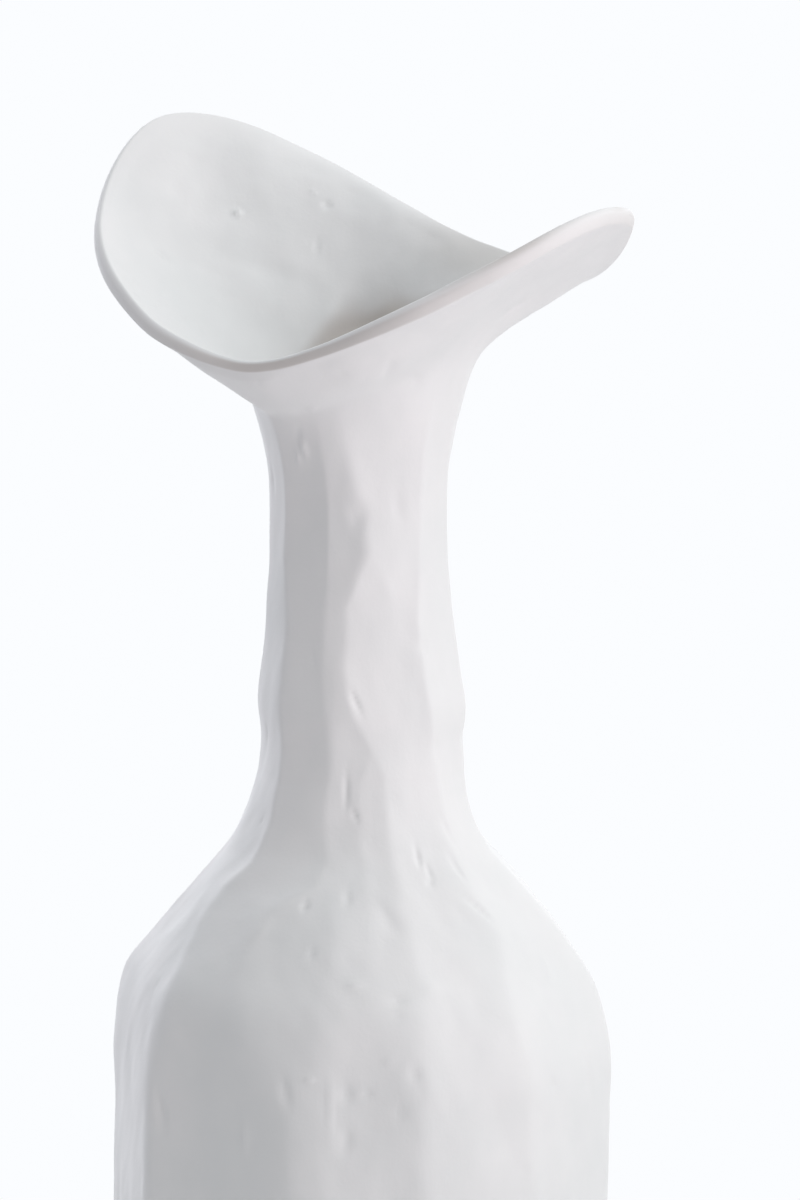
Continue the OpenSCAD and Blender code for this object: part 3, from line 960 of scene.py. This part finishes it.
def table_top():
    """The pale round table that the vase stands on."""
    turn = np.linspace(0, 2 * math.pi, TABLE_CORNERS + 1)[:-1]
    profile = [(TABLE_R - TABLE_EDGE, 0), (TABLE_R, -TABLE_EDGE), (TABLE_R, -TABLE_T)]
    points = [(r * math.cos(t), r * math.sin(t), z) for r, z in profile for t in turn]
    n = len(turn)
    faces = [list(range(n))]
    for k in range(len(profile) - 1):
        for i in range(n):
            j = (i + 1) % n
            faces.append([(k + 1) * n + i, (k + 1) * n + j, k * n + j, k * n + i])
    mesh = bpy.data.meshes.new("table_top")
    mesh.from_pydata((np.array(points) * MM).tolist(), [], faces)
    material, tree, shader = new_material("table_paint")
    place = add_node(tree, "ShaderNodeTexCoord").outputs["Object"]
    clouds = noise(tree, place, *TABLE_CLOUDS)
    paint = ramp(tree, clouds, TABLE_CLOUD_RANGE, (TABLE_DEEP, TABLE_PALE))
    tree.links.new(paint, shader.inputs["Base Color"])
    shader.inputs["Roughness"].default_value = TABLE_ROUGHNESS
    mesh.materials.append(material)
    table = bpy.data.objects.new("table_top", mesh)
    bpy.context.scene.collection.objects.link(table)


def direction(turn, height):
    """Unit vector towards a direction and a height above the horizon, in degrees."""
    turn, height = math.radians(turn), math.radians(height)
    return Vector((math.cos(turn) * math.cos(height), math.sin(turn) * math.cos(height), math.sin(height)))


def studio_walls():
    """Pale light from the walls round the vase: brighter behind it, on its right and low in front. The
    camera sees one plain tone instead."""
    world = bpy.data.worlds.new("studio")
    bpy.context.scene.world = world
    world.use_nodes = True
    tree = world.node_tree
    tree.nodes.clear()
    way = add_node(tree, "ShaderNodeTexCoord").outputs["Generated"]
    light = WALL_LIGHT
    for turn, height, power, tint in WALL_GLOWS:
        inputs = [(0, way), (1, direction(turn, height))]
        facing = add_node(tree, "ShaderNodeVectorMath", inputs, operation="DOT_PRODUCT").outputs["Value"]
        facing = add_node(tree, "ShaderNodeMath", [(0, facing), (1, 0.0)], operation="MAXIMUM").outputs[0]
        glow = add_node(tree, "ShaderNodeMath", [(0, facing), (1, power)], operation="POWER").outputs[0]
        inputs = [(0, tint), (1, glow), (2, light)]
        light = add_node(tree, "ShaderNodeVectorMath", inputs, operation="MULTIPLY_ADD").outputs["Vector"]
    seen = add_node(tree, "ShaderNodeLightPath").outputs["Is Camera Ray"]
    shown = mixed(tree, seen, light, (*WALL_SEEN, 1))
    back = add_node(tree, "ShaderNodeBackground", [("Color", shown), ("Strength", 1.0)])
    add_node(tree, "ShaderNodeOutputWorld", [("Surface", back.outputs["Background"])])


def photo_camera():
    """The photograph's camera: a long lens, a little above the vase and looking slightly down."""
    lens = bpy.data.cameras.new("camera")
    lens.sensor_width = SENSOR_MM
    lens.lens = SENSOR_MM * VIEW_DISTANCE / (PHOTO_PIXELS_HIGH * MM_A_PIXEL * MM)
    holder = bpy.data.objects.new("camera", lens)
    way = direction(VIEW_TURN, VIEW_HEIGHT)
    holder.location = AIM + way * VIEW_DISTANCE
    holder.rotation_euler = way.to_track_quat("Z", "Y").to_euler()
    bpy.context.scene.collection.objects.link(holder)
    bpy.context.scene.camera = holder


table_top()
studio_walls()
photo_camera()
bpy.context.scene.view_settings.view_transform = "Standard"
